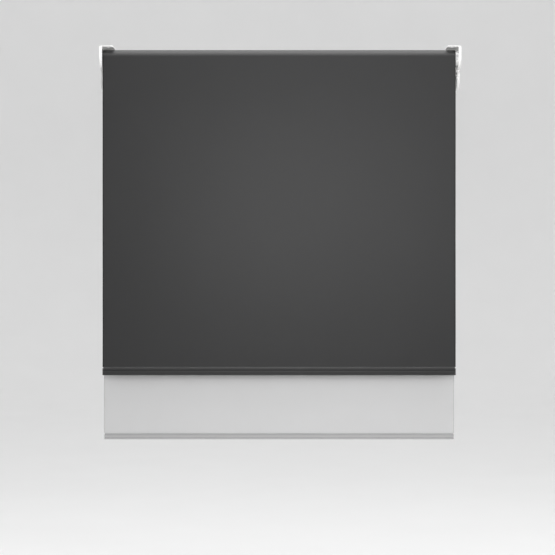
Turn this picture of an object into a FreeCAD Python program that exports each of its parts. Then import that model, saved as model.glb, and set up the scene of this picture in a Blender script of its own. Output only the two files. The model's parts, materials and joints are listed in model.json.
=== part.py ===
import FreeCAD, Part
import math
import os
from collections import namedtuple

# Double roller blind for a window recess. A pair of twin brackets carries two rollers, one above and
# in front of the other. The front roller winds a blackout cloth, the rear one a translucent cloth.
# Each roller turns on a spring pin at the left and on a battery motor inside the tube at the right.
# The axes: +X to the right, +Y towards the window, +Z up. The origin is the centre of the four ceiling
# holes, on the brackets' top plane.

V = FreeCAD.Vector

# ---- overall sizes, in millimetres ----
overall_width = 940.0  # outer face to outer face of the two bracket covers
full_drop = 1250.0  # top plane to the lowest place that either hem can reach
reserve_turns = 1.0  # cloth that always stays on a tube
axis_setback = 25.0  # the rear axis lies this far behind the front one
rolls_apart = 10.3  # between the two rolls when both are full
roll_gap = 2.5  # full front roll to the ceiling flange
wall_gap = 4.5  # full rear roll to the wall flange, room for a screw head

# ---- the two blinds ----
Blind = namedtuple("Blind", "name drop cloth hem bar_thick")
front = Blind(name="front", drop=856.0, cloth=0.45, hem=21.0, bar_thick=3.6)
rear = Blind(name="rear", drop=1026.0, cloth=0.35, hem=16.5, bar_thick=3.2)
BLINDS = (front, rear)
sheet_play = 0.05  # between the roll and the layer that hangs from it
cloth_inset = 0.2  # cloth edge inside the tube's end

# ---- brackets ----
plate_t = 2.0
bend_r = 1.5  # inside radius of the folds
lobe_margin = 3.0  # plate edge beyond a full roll
neck_radius = 6.0  # hollow between the two lobes
heel_radius = 22.0  # lower back corner
ceiling_flange = 32.0
ceiling_hole_in = 18.4  # hole row to the plate's outer face
ceiling_hole_y = 24.0  # holes before and behind the origin
wall_flange = 26.0
wall_flange_end = 72.0  # lower end of the wall flange, below the top plane
wall_hole_in = 15.0
wall_hole_z = (20.0, 58.0)  # below the top plane
fixing_hole_r = 2.4
fold_notch = 6.0  # relief where the two flanges meet
flange_corner = 4.0

# ---- bracket covers ----
cover_wall = 1.5
cover_gap = 1.8  # between cover and plate: room for pin tips and motor clips
cover_play = 0.3  # around the plate's edge
cover_rim = 7.0  # depth of the rim, from the outer face
cover_top = 0.4  # the cover stays this far below the top plane
cover_edge = 1.0  # rounding of the outer edge
cover_panel_in = 5.0  # border round the sunk panel on the cover's outer face
cover_panel_deep = 0.4
cover_screw_r = 1.5
cover_screw_head = 2.7
cover_boss_r = 3.2

# ---- tubes ----
tube_radius = 20.0
tube_wall = 1.2
key_width = 9.0  # channel inside the tube that holds the cloth and drives the tube
key_depth = 3.0
key_floor = 1.4
slot_width = 6.0
spline_play = 0.2
plug_play = 0.1  # between a plug and the tube's bore

# ---- idle end ----
pin_radius = 3.0
pin_tip_gap = 0.4  # pin tip to the cover
pin_play = 0.1
pin_tip_round = 0.8
pin_collar_r = 4.4
pin_collar = 2.0
bush_radius = 5.0
bush_rim_r = 7.0
bush_rim = 0.6
idle_run = 0.3  # bush rim to plug
idle_flange = 1.7
flange_step = 0.4  # a plug's flange is this much smaller than the tube outside
idle_plug_length = 46.0
plug_hub_r = 7.5
plug_web = 5.0  # solid end of the plug
rib = 1.6
spring_wire = 0.9
spring_length = 26.0

# ---- motor end ----
head_run = 0.6  # plate to motor head
head_thick = 7.0
head_radius = 21.0
head_flat = 18.5  # axis to the flat face with the socket
head_collar_r = 14.5
head_collar = 16.0
crown_run = 0.3
crown_rim = 0.7
crown_length = 14.0
crown_play = 0.1
stud_size = 12.0
stud_play = 0.2
stud_length = 1.4  # beyond the plate
stud_groove = 1.0
clip_thick = 0.6
clip_size = 19.0

casing_radius = 12.5
casing_wall = 1.0
casing_length = 400.0
casing_seat = 14.0  # casing inside the collar
part_play = 0.05  # parts inside the casing
part_space = 4.0
board_length = 72.0
board_thick = 1.6
cell_radius = 9.2
cell_length = 65.0
cell_count = 3
cell_disc = 3.0
motor_length = 46.0
gearbox_length = 60.0
shaft_radius = 4.0
shaft_flat = 3.2
shaft_play = 0.2
shaft_inside = 12.0
shaft_outside = 26.0
wheel_gap = 4.0
wheel_length = 18.0
wheel_spokes = 5

# ---- socket, button and lamp on the motor head's flat ----
port_up = 3.6  # socket's centre above the axis
port_height = 9.0
port_width = 3.2
port_wall = 0.4
port_depth = 6.5
port_tongue = 0.8
button_down = 4.6
button_radius = 1.6
button_proud = 0.9
button_play = 0.15
button_length = 4.0
lamp_down = 8.0
lamp_radius = 0.8
lamp_length = 3.0

# ---- hems ----
seam = 3.0  # welded strip above the bar pocket
bar_play = 0.1
bar_wall = 1.0
cap_thick = 2.0
cap_edge = 0.2  # cap beyond the pocket
tongue = 14.0
tongue_play = 0.1


# ---- sizes worked out from the ones above ----
def wound_radius(blind, length):
    """Radius of a roll that holds this length of cloth."""
    return math.sqrt(tube_radius**2 + length * blind.cloth / math.pi)


reserve = reserve_turns * 2 * math.pi * tube_radius
rest_r = {b.name: wound_radius(b, full_drop - b.drop + reserve) for b in BLINDS}
full_r = {b.name: wound_radius(b, full_drop - b.hem + reserve) for b in BLINDS}
hang_r = {b.name: rest_r[b.name] + sheet_play for b in BLINDS}

axes_apart = full_r["front"] + full_r["rear"] + rolls_apart
axis_drop = math.sqrt(axes_apart**2 - axis_setback**2)
front_lobe = full_r["front"] + lobe_margin
rear_lobe = full_r["rear"] + lobe_margin
depth = front_lobe + axis_setback + full_r["rear"] + wall_gap + plate_t
front_y = -depth / 2
back_y = depth / 2
axis_y = {"front": front_y + front_lobe}
axis_y["rear"] = axis_y["front"] + axis_setback
axis_z = {"front": -(plate_t + roll_gap + full_r["front"])}
axis_z["rear"] = axis_z["front"] - axis_drop

half_width = overall_width / 2
cover_in = half_width - cover_wall
plate_out = cover_in - cover_gap
plate_in = plate_out - plate_t
bend = bend_r + plate_t

bush_in = -(plate_in - bush_rim)
plug_left = bush_in + idle_run
tube_left = plug_left + idle_flange
head_right = plate_in - head_run
head_left = head_right - head_thick
crown_right = head_left - crown_run
tube_right = crown_right - crown_rim
cloth_left = tube_left + cloth_inset
cloth_right = tube_right - cloth_inset

tube_bore = tube_radius - tube_wall
plug_radius = tube_bore - plug_play
flange_r = tube_radius - flange_step
key_inner = tube_bore - key_depth
slot_floor = key_inner + key_floor
casing_bore = casing_radius - casing_wall
casing_right = head_left - head_collar + casing_seat
casing_left = casing_right - casing_length
port_x = head_left + 3.0


# ---- building blocks ----
def box(x0, x1, y0, y1, z0, z1):
    return Part.makeBox(x1 - x0, y1 - y0, z1 - z0, V(x0, y0, z0))


def rod(radius, x0, x1, y, z):
    """Cylinder along X."""
    return Part.makeCylinder(radius, x1 - x0, V(x0, y, z), V(1, 0, 0))


def ring(outer, inner, x0, x1, y, z):
    return rod(outer, x0, x1, y, z).cut(rod(inner, x0, x1, y, z))


def rod_y(radius, y0, y1, x, z):
    """Cylinder along Y."""
    return Part.makeCylinder(radius, y1 - y0, V(x, y0, z), V(0, 1, 0))


def arc(centre, radius, start, end):
    """Arc in the YZ plane, from one angle to another in degrees, 0 along +Y and 90 along +Z."""

    def at(angle):
        turn = math.radians(angle)
        return V(0, centre[0] + radius * math.cos(turn), centre[1] + radius * math.sin(turn))

    return Part.Arc(at(start), at((start + end) / 2), at(end)).toShape()


def line(a, b):
    return Part.makeLine(V(0, *a), V(0, *b))


def slab(edges, x0, x1):
    """Solid between two X places whose section is the closed run of edges in the YZ plane."""
    face = Part.Face(Part.Wire(edges))
    face.translate(V(x0, 0, 0))
    return face.extrude(V(x1 - x0, 0, 0))


def rounded(height, thick, y, z, x0, x1):
    """Upright flat bar along X with fully round long edges, centred on y, its lower edge at z."""
    r = thick / 2
    low = (y, z + r)
    high = (y, z + height - r)
    edges = [
        arc(low, r, 180, 360),
        line((y + r, low[1]), (y + r, high[1])),
        arc(high, r, 0, 180),
        line((y - r, high[1]), (y - r, low[1])),
    ]
    return slab(edges, x0, x1)


def heading(a, b):
    """Angle of the way from a to b in the YZ plane."""
    return math.degrees(math.atan2(b[1] - a[1], b[0] - a[0]))


def edges_at_x(shape, x):
    """The edges that lie wholly in the plane at this X place."""
    return [e for e in shape.Edges if abs(e.BoundBox.XMin - x) < 0.01 and abs(e.BoundBox.XMax - x) < 0.01]


def mirrored(shape):
    return shape.mirror(V(0, 0, 0), V(1, 0, 0))


def save(name, shape):
    solids = shape.Solids
    if not shape.isValid() or not solids:
        raise ValueError(f"{name} isn't a valid solid")
    out = solids[0] if len(solids) == 1 else Part.makeCompound(solids)
    out.exportStep(f"parts/{name}.step")
    size = out.BoundBox
    print(f"{name:24s} {len(solids)} solid  {out.Volume:10.0f} mm3  x {size.XMin:8.2f} {size.XMax:8.2f}"
          f"  y {size.YMin:7.2f} {size.YMax:7.2f}  z {size.ZMin:9.2f} {size.ZMax:9.2f}")


# ---- brackets ----
def bracket_outline(grow, top, x0, x1):
    """Two lobes, one about each axis, with a hollow neck between them at the front.

    grow moves the whole outline outwards, and top is the height of its straight upper edge."""
    upper = (axis_y["front"], axis_z["front"])
    lower = (axis_y["rear"], axis_z["rear"])
    r1 = front_lobe + neck_radius
    r2 = rear_lobe + neck_radius
    along = (axes_apart**2 + r1**2 - r2**2) / (2 * axes_apart)
    aside = math.sqrt(r1**2 - along**2)
    step = (axis_setback / axes_apart, -axis_drop / axes_apart)
    neck = (
        upper[0] + along * step[0] + aside * step[1],
        upper[1] + along * step[1] - aside * step[0],
    )
    heel = (back_y - heel_radius, lower[1] - rear_lobe + heel_radius)
    to_neck = heading(upper, neck) % 360
    from_neck = heading(lower, neck) % 360
    sole = lower[1] - rear_lobe - grow
    edges = [
        line((front_y - grow, top), (front_y - grow, upper[1])),
        arc(upper, front_lobe + grow, 180, to_neck),
        arc(neck, neck_radius - grow, to_neck - 180, from_neck - 180),
        arc(lower, rear_lobe + grow, from_neck, 270),
        line((lower[0], sole), (heel[0], sole)),
        arc(heel, heel_radius + grow, 270, 360),
        line((back_y + grow, heel[1]), (back_y + grow, top)),
        line((back_y + grow, top), (front_y - grow, top)),
    ]
    return slab(edges, x0, x1)


def fold(width, reach):
    """Folded strip: its web lies along the plate's outer face and its flange runs inwards.

    The section is in the plane of X and depth: the flange's outer face is at depth 0."""
    centre = V(plate_out - bend, 0, -bend)
    corner = math.sqrt(0.5)
    outer = Part.Arc(
        V(plate_out, 0, -bend),
        centre + V(bend * corner, 0, bend * corner),
        V(plate_out - bend, 0, 0),
    )
    inner = Part.Arc(
        V(plate_out - bend, 0, -plate_t),
        centre + V(bend_r * corner, 0, bend_r * corner),
        V(plate_in, 0, -bend),
    )
    end_x = plate_out - width
    edges = [
        outer.toShape(),
        Part.makeLine(V(plate_out - bend, 0, 0), V(end_x, 0, 0)),
        Part.makeLine(V(end_x, 0, 0), V(end_x, 0, -plate_t)),
        Part.makeLine(V(end_x, 0, -plate_t), V(plate_out - bend, 0, -plate_t)),
        inner.toShape(),
        Part.makeLine(V(plate_in, 0, -bend), V(plate_out, 0, -bend)),
    ]
    strip = Part.Face(Part.Wire(edges)).extrude(V(0, reach, 0))
    corners = [e for e in edges_at_x(strip, end_x) if e.BoundBox.ZLength > plate_t / 2]
    return strip.makeFillet(flange_corner, corners)


def cover_screw_places():
    """The cover screws' (y, z) places, clear of both seats."""
    upper = (axis_y["rear"] + stud_size, axis_z["front"] * 0.5)
    lower = (axis_y["rear"], axis_z["rear"] - (rear_lobe + clip_size / 2) / 2)
    return (upper, lower)


def right_plate():
    """Twin bracket plate with its ceiling and wall flanges, before the seats are cut."""
    plate = bracket_outline(0, -bend, plate_in, plate_out)
    plate = plate.cut(box(plate_in - 1, plate_out + 1, back_y - bend, back_y + 1, -wall_flange_end, 0))
    plate = plate.cut(box(plate_in - 1, plate_out + 1, back_y - fold_notch, back_y + 1, -fold_notch, 0))
    ceiling = fold(ceiling_flange, back_y - fold_notch - front_y)
    ceiling.translate(V(0, front_y, 0))
    wall = fold(wall_flange, wall_flange_end - fold_notch)
    wall.rotate(V(0, 0, 0), V(1, 0, 0), -90)
    wall.translate(V(0, back_y, -fold_notch))
    body = plate.fuse([ceiling, wall]).removeSplitter()
    for y in (-ceiling_hole_y, ceiling_hole_y):
        hole_x = plate_out - ceiling_hole_in
        body = body.cut(Part.makeCylinder(fixing_hole_r, plate_t, V(hole_x, y, -plate_t)))
    for z in wall_hole_z:
        body = body.cut(rod_y(fixing_hole_r, back_y - plate_t, back_y, plate_out - wall_hole_in, -z))
    for y, z in cover_screw_places():
        body = body.cut(rod(cover_screw_r, plate_in, plate_out, y, z))
    return body


def bracket_plates():
    right = right_plate()
    left = mirrored(right)
    for b in BLINDS:
        y, z = axis_y[b.name], axis_z[b.name]
        half = stud_size / 2 + stud_play
        right = right.cut(box(plate_in, plate_out, y - half, y + half, z - half, z + half))
        left = left.cut(rod(bush_radius, -plate_out, -plate_in, y, z))
    return left, right


def bracket_cover():
    """Moulded cap over the right plate: an outer wall, a rim and two screw bosses."""
    grow = cover_play + cover_wall
    shell = bracket_outline(grow, -cover_top, half_width - cover_rim, half_width)
    shell = shell.cut(bracket_outline(cover_play, -cover_top, half_width - cover_rim, cover_in))
    shell = shell.cut(box(0, half_width + 1, back_y - cover_play, back_y + 2 * grow, -full_drop, 0))
    shell = shell.makeFillet(cover_edge, edges_at_x(shell, half_width))
    panel = bracket_outline(-cover_panel_in, -cover_panel_in, half_width - cover_panel_deep, half_width + 1)
    shell = shell.cut(panel)
    for y, z in cover_screw_places():
        shell = shell.fuse(rod(cover_boss_r, plate_out, half_width, y, z))
        shell = shell.cut(rod(cover_screw_r, plate_out, half_width, y, z))
        shell = shell.cut(cover_screw_cone(y, z))
    return shell.removeSplitter()


def cover_screw_cone(y, z):
    """Countersunk head, flush with the cover's outer face."""
    sink = cover_screw_head - cover_screw_r
    cone = Part.makeCone(cover_screw_r, cover_screw_head, sink, V(half_width - sink, y, z), V(1, 0, 0))
    return cone


def cover_screws():
    """Two countersunk screws with a cross recess."""
    screws = []
    for y, z in cover_screw_places():
        shank = rod(cover_screw_r, plate_in, half_width - cover_wall / 2, y, z)
        screw = shank.fuse(cover_screw_cone(y, z))
        arm, thin = cover_screw_head * 0.6, 0.35
        for dy, dz in ((arm, thin), (thin, arm)):
            screw = screw.cut(box(half_width - 0.8, half_width + 1, y - dy, y + dy, z - dz, z + dz))
        screws.append(screw.removeSplitter())
    return Part.makeCompound(screws)


# ---- roller tube and what is wound on it ----
def key_box(width, inner, outer, x0, x1, y, z):
    """Block across the top of the tube, between two heights above its axis."""
    return box(x0, x1, y - width / 2, y + width / 2, z + inner, z + outer)


def key_notch(x0, x1, y, z):
    """Room in a plug for the tube's channel."""
    return key_box(key_width + 2 * plug_play, key_inner - plug_play, tube_radius, x0, x1, y, z)


def tube(y, z):
    """Round tube with a channel along its top: the cloth's strip lies in it, the plugs key on it."""
    wall = ring(tube_radius, tube_bore, tube_left, tube_right, y, z)
    channel = key_box(key_width, key_inner, tube_bore + tube_wall / 2, tube_left, tube_right, y, z)
    body = wall.fuse(channel)
    slot = key_box(slot_width, slot_floor, tube_radius + 1, tube_left, tube_right, y, z)
    return body.cut(slot).removeSplitter()


def fabric_spline(y, z):
    """Strip that clamps the cloth's end in the tube's slot."""
    top = tube_radius - tube_wall / 3
    width = slot_width - 2 * spline_play
    return key_box(width, slot_floor + spline_play, top, cloth_left, cloth_right, y, z)


def fabric_roll(b, y, z):
    return ring(rest_r[b.name], tube_radius, cloth_left, cloth_right, y, z)


# ---- idle end ----
def spoked(outer, sleeve, hub, x0, x1, spokes, y, z):
    """Ring and hub joined by ribs."""
    body = ring(outer, sleeve, x0, x1, y, z).fuse(rod(hub, x0, x1, y, z))
    for i in range(spokes):
        web = box(x0, x1, y - rib / 2, y + rib / 2, z + hub / 2, z + sleeve + rib / 2)
        web.rotate(V(0, y, z), V(1, 0, 0), 360 * (i + 0.5) / spokes)
        body = body.fuse(web)
    return body


def pin_places():
    """Where the pin's collar and spring lie inside the plug."""
    shoulder = plug_left + idle_flange + plug_web
    spring = shoulder + pin_collar
    return shoulder, spring, spring + spring_length


def idle_plug(y, z):
    """Plug pressed into the tube's left end, bored for the pin and its spring."""
    right = plug_left + idle_flange + idle_plug_length
    web_end = tube_left + plug_web
    sleeve_r = key_inner - plug_play - rib
    body = spoked(plug_radius, sleeve_r, plug_hub_r, web_end, right, 6, y, z)
    body = body.fuse([
        rod(flange_r, plug_left, tube_left, y, z),
        rod(plug_radius, tube_left, web_end, y, z),
    ])
    body = body.cut(key_notch(tube_left, right, y, z))
    body = body.cut(rod(pin_radius + pin_play, plug_left, right, y, z))
    shoulder = pin_places()[0]
    return body.cut(rod(pin_collar_r + pin_play, shoulder, right, y, z)).removeSplitter()


def idle_pin(y, z):
    """Sprung pin with a rounded tip, a collar that stops it and a tail inside the spring."""
    tip = -(cover_in - pin_tip_gap)
    shoulder, spring, _ = pin_places()
    pin = rod(pin_radius, tip, shoulder + pin_collar, y, z)
    pin = pin.makeFillet(pin_tip_round, edges_at_x(pin, tip))
    collar = rod(pin_collar_r, shoulder, shoulder + pin_collar, y, z)
    tail = rod(pin_radius - spring_wire - pin_play, spring, spring + spring_length / 3, y, z)
    return pin.fuse([collar, tail]).removeSplitter()


def pin_spring(y, z):
    """Sleeve in the place of the coil spring behind the collar."""
    _, start, end = pin_places()
    outer = pin_collar_r - pin_play
    return ring(outer, outer - spring_wire, start, end, y, z)


def spring_cap(y, z):
    """Plug in the end of the hub that the spring pushes against."""
    right = plug_left + idle_flange + idle_plug_length
    end = pin_places()[2]
    spigot = rod(pin_collar_r + pin_play, end, right, y, z)
    return spigot.fuse(rod(plug_hub_r, right, right + rib, y, z)).removeSplitter()


def pin_bush(y, z):
    """Flanged bush in the plate that the pin turns in."""
    body = rod(bush_radius, -plate_out, -plate_in, y, z).fuse(rod(bush_rim_r, -plate_in, bush_in, y, z))
    return body.cut(rod(pin_radius + pin_play, -plate_out, bush_in, y, z)).removeSplitter()


# ---- motor end ----
def pill_y(width, height, y0, y1, x, z):
    """Upright slot shape that runs along Y, with half-round ends."""
    r = width / 2
    reach = height / 2 - r
    body = box(x - r, x + r, y0, y1, z - reach, z + reach)
    return body.fuse([rod_y(r, y0, y1, x, z + reach), rod_y(r, y0, y1, x, z - reach)]).removeSplitter()


def motor_head(y, z):
    """Fixed head: a disc with a flat for the socket, a stud in the bracket and a collar in the tube."""
    face = y - head_flat
    disc = rod(head_radius, head_left, head_right, y, z)
    disc = disc.cut(box(head_left, head_right, y - 2 * head_radius, face, z - head_radius, z + head_radius))
    disc = disc.cut(pill_y(port_width, port_height, face, face + port_depth, port_x, z + port_up))
    well = button_length + button_proud
    disc = disc.cut(rod_y(button_radius + button_play, face, face + well, port_x, z - button_down))
    disc = disc.cut(rod_y(lamp_radius, face, face + lamp_length, port_x, z - lamp_down))
    half = stud_size / 2
    groove = half - stud_groove
    stud_end = plate_out + stud_length
    neck_end = plate_out + clip_thick + stud_play
    stud = box(head_right, plate_out, y - half, y + half, z - half, z + half)
    neck = box(plate_out, neck_end, y - groove, y + groove, z - groove, z + groove)
    knob = box(neck_end, stud_end, y - half, y + half, z - half, z + half)
    collar = rod(head_collar_r, head_left - head_collar, head_left, y, z)
    body = disc.fuse([stud, neck, knob, collar])
    return body.cut(rod(casing_radius, head_left - head_collar, casing_right, y, z)).removeSplitter()


def motor_clip(y, z):
    """U-shaped spring clip in the stud's groove, outside the plate."""
    left = plate_out + stud_play / 2
    half = clip_size / 2
    gap = stud_size / 2 - stud_groove + stud_play / 2
    plate = box(left, left + clip_thick, y - half, y + half, z - half, z + half)
    throat = box(left, left + clip_thick, y - gap, y + gap, z - half, z + gap)
    return plate.cut(throat)


def charge_socket(y, z):
    """Metal shell of the charging socket, with its tongue."""
    face = y - head_flat
    back = face + port_depth
    up = z + port_up
    shell = pill_y(port_width, port_height, face, back, port_x, up)
    inner = pill_y(port_width - 2 * port_wall, port_height - 2 * port_wall,
                   face, back - port_wall, port_x, up)
    half = port_tongue / 2
    reach = port_height / 2 - port_width / 2
    blade = box(port_x - half, port_x + half, face + 1, back - port_wall, up - reach, up + reach)
    return shell.cut(inner).fuse(blade).removeSplitter()


def set_button(y, z):
    face = y - head_flat
    body = rod_y(button_radius, face - button_proud, face + button_length - button_proud,
                 port_x, z - button_down)
    edges = [e for e in body.Edges if abs(e.BoundBox.YMax - face + button_proud) < 0.01]
    return body.makeFillet(0.3, edges)


def status_lamp(y, z):
    face = y - head_flat
    return rod_y(lamp_radius, face - 0.2, face + lamp_length, port_x, z - lamp_down)


def crown(y, z):
    """Ring in the tube's right end that turns on the head's collar."""
    left = tube_right - crown_length
    body = rod(plug_radius, left, tube_right, y, z)
    body = body.fuse(rod(flange_r, tube_right, crown_right, y, z))
    body = body.cut(key_notch(left, tube_right, y, z))
    return body.cut(rod(head_collar_r + crown_play, left, crown_right, y, z)).removeSplitter()


def motor_casing(y, z):
    return ring(casing_radius, casing_bore, casing_left, casing_right, y, z)


def casing_places():
    """Left and right ends of the board, battery, motor and gearbox, from the head inwards."""
    lengths = {
        "control_board": board_length,
        "battery": cell_count * cell_length + (cell_count + 1) * cell_disc,
        "motor": motor_length,
    }
    places = {}
    right = casing_right - 1.0
    for part, length in lengths.items():
        places[part] = (right - length, right)
        right -= length + part_space
    places["gearbox"] = (casing_left, casing_left + gearbox_length)
    return places


def control_board(y, z):
    """Circuit board across the casing, with its larger components."""
    left, right = casing_places()["control_board"]
    half = math.sqrt((casing_bore - part_play) ** 2 - (board_thick / 2) ** 2)
    board = box(left, right, y - half, y + half, z - board_thick / 2, z + board_thick / 2)
    top = z + board_thick / 2
    for start, length, width, height in ((6, 14, 12, 3), (24, 9, 9, 2), (38, 12, 7, 5), (56, 10, 14, 3)):
        board = board.fuse(box(left + start, left + start + length,
                               y - width / 2, y + width / 2, top, top + height))
    return board.removeSplitter()


def battery(y, z):
    """Cells in a row, held in the casing by end and middle discs."""
    left, _ = casing_places()["battery"]
    body = None
    for i in range(cell_count + 1):
        start = left + i * (cell_length + cell_disc)
        disc = rod(casing_bore - part_play, start, start + cell_disc, y, z)
        body = disc if body is None else body.fuse(disc)
        if i < cell_count:
            body = body.fuse(rod(cell_radius, start + cell_disc, start + cell_disc + cell_length, y, z))
    return body.removeSplitter()


def motor(y, z):
    left, right = casing_places()["motor"]
    can = rod(casing_bore - part_play, left, right, y, z)
    for turn in (0, 180):
        vent = box(left + 6, left + 16, y - 2.5, y + 2.5, z + casing_bore - 1, z + casing_bore + 1)
        vent.rotate(V(0, y, z), V(1, 0, 0), turn)
        can = can.cut(vent)
    return can.fuse(rod(2.0, left - part_space + 0.5, left, y, z)).removeSplitter()


def gearbox(y, z):
    """Planetary gearbox that closes the casing's end; its output shaft turns in a blind bore."""
    left, right = casing_places()["gearbox"]
    body = rod(casing_bore - part_play, left, right, y, z)
    body = body.cut(rod(shaft_radius + shaft_play, left, left + shaft_inside + shaft_play, y, z))
    for i in range(1, 4):
        x = left + gearbox_length * i / 4
        groove = ring(casing_bore, casing_bore - 0.6, x, x + 1.0, y, z)
        body = body.cut(groove)
    return body.removeSplitter()


def shaft_section(radius, flat, x0, x1, y, z):
    """Round bar along X with one flat."""
    return rod(radius, x0, x1, y, z).cut(box(x0, x1, y - radius, y + radius, z + flat, z + radius))


def output_shaft(y, z):
    return shaft_section(shaft_radius, shaft_flat, casing_left - shaft_outside,
                         casing_left + shaft_inside, y, z)


def drive_wheel(y, z):
    """Keyed wheel on the output shaft that turns the tube."""
    right = casing_left - wheel_gap
    left = right - wheel_length
    sleeve_r = key_inner - plug_play - rib
    body = spoked(plug_radius, sleeve_r, plug_hub_r, left, right, wheel_spokes, y, z)
    body = body.cut(key_notch(left, right, y, z))
    bore = shaft_section(shaft_radius + part_play, shaft_flat + part_play, left, right, y, z)
    return body.cut(bore).removeSplitter()


# ---- hanging cloth and its hem ----
def sheet_y(b):
    """Middle of the hanging cloth: it leaves the front of the roll."""
    return axis_y[b.name] - hang_r[b.name] - b.cloth / 2


def hem_low(b):
    return -b.drop


def bar_height(b):
    return b.hem - seam - 2 * b.cloth - 2 * bar_play


def hanging_fabric(b):
    y = sheet_y(b)
    top = axis_z[b.name]
    return box(cloth_left, cloth_right, y - b.cloth / 2, y + b.cloth / 2, hem_low(b) + b.hem, top)


def hem_pocket(b):
    """Cloth folded round the bar and welded to itself above it."""
    y = sheet_y(b)
    low = hem_low(b)
    thick = b.bar_thick + 2 * bar_play
    inner_h = bar_height(b) + 2 * bar_play
    left, right = cloth_left + cap_thick, cloth_right - cap_thick
    pocket = rounded(inner_h + 2 * b.cloth, thick + 2 * b.cloth, y, low, left, right)
    weld = box(left, right, y - b.cloth, y + b.cloth, low + b.hem - seam - b.cloth, low + b.hem)
    hollow = rounded(inner_h, thick, y, low + b.cloth, left, right)
    return pocket.fuse(weld).cut(hollow).removeSplitter()


def bottom_bar(b):
    """Hollow aluminium bar inside the pocket."""
    y = sheet_y(b)
    low = hem_low(b) + b.cloth + bar_play
    left, right = cloth_left + cap_thick, cloth_right - cap_thick
    solid = rounded(bar_height(b), b.bar_thick, y, low, left, right)
    hollow = rounded(bar_height(b) - 2 * bar_wall, b.bar_thick - 2 * bar_wall, y, low + bar_wall, left, right)
    return solid.cut(hollow)


def bar_end_caps(b):
    """Moulded caps on both ends of the hem, each with a tongue in the bar."""
    y = sheet_y(b)
    low = hem_low(b)
    height = bar_height(b) + 2 * bar_play + 2 * b.cloth + cap_edge
    thick = b.bar_thick + 2 * bar_play + 2 * b.cloth + 2 * cap_edge
    inner_h = bar_height(b) - 2 * bar_wall - 2 * tongue_play
    inner_t = b.bar_thick - 2 * bar_wall - 2 * tongue_play
    inner_z = low + b.cloth + bar_play + bar_wall + tongue_play
    caps = []
    for edge, way in ((cloth_left, 1), (cloth_right, -1)):
        inside = edge + way * cap_thick
        reach = inside + way * tongue
        plate = rounded(height, thick, y, low, min(edge, inside), max(edge, inside))
        blade = rounded(inner_h, inner_t, y, inner_z, min(inside, reach), max(inside, reach))
        caps.append(plate.fuse(blade).removeSplitter())
    return Part.makeCompound(caps)


# ---- the whole blind ----
ROUND_PARTS = {
    "tube": tube,
    "fabric_spline": fabric_spline,
    "idle_plug": idle_plug,
    "idle_pin": idle_pin,
    "pin_spring": pin_spring,
    "spring_cap": spring_cap,
    "pin_bush": pin_bush,
    "motor_head": motor_head,
    "motor_clip": motor_clip,
    "charge_socket": charge_socket,
    "set_button": set_button,
    "status_lamp": status_lamp,
    "crown": crown,
    "motor_casing": motor_casing,
    "control_board": control_board,
    "battery": battery,
    "motor": motor,
    "gearbox": gearbox,
    "output_shaft": output_shaft,
    "drive_wheel": drive_wheel,
}
HEM_PARTS = {
    "fabric": hanging_fabric,
    "hem_pocket": hem_pocket,
    "bottom_bar": bottom_bar,
    "bar_end_caps": bar_end_caps,
}


def main():
    os.makedirs("parts", exist_ok=True)
    left_plate, right_plate_cut = bracket_plates()
    save("left_bracket_plate", left_plate)
    save("right_bracket_plate", right_plate_cut)
    cover = bracket_cover()
    save("right_bracket_cover", cover)
    save("left_bracket_cover", mirrored(cover))
    screws = cover_screws()
    save("right_cover_screws", screws)
    save("left_cover_screws", mirrored(screws))
    for b in BLINDS:
        y, z = axis_y[b.name], axis_z[b.name]
        for part, make in ROUND_PARTS.items():
            save(f"{b.name}_{part}", make(y, z))
        save(f"{b.name}_fabric_roll", fabric_roll(b, y, z))
        for part, make in HEM_PARTS.items():
            save(f"{b.name}_{part}", make(b))
        print(f"{b.name}: axis y {y:.3f} z {z:.3f}, roll {rest_r[b.name]:.3f}, full {full_r[b.name]:.3f}, "
              f"sheet y {sheet_y(b):.3f}, pitch {hang_r[b.name] + b.cloth / 2:.3f}, lowest {b.drop - full_drop}")
    print(f"ceiling holes x {plate_out - ceiling_hole_in:.3f} y {ceiling_hole_y}, "
          f"wall holes x {plate_out - wall_hole_in:.3f} y {back_y:.3f} z {wall_hole_z}")
    print(f"cloth x {cloth_left:.3f} to {cloth_right:.3f}, port x {port_x:.3f}, "
          f"depth {depth:.3f}, lowest bracket z {axis_z['rear'] - rear_lobe:.3f}")


main()
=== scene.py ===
"""Double roller blind: cloths, springs, finishes, studio and camera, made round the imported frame."""

import json
import math

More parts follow.
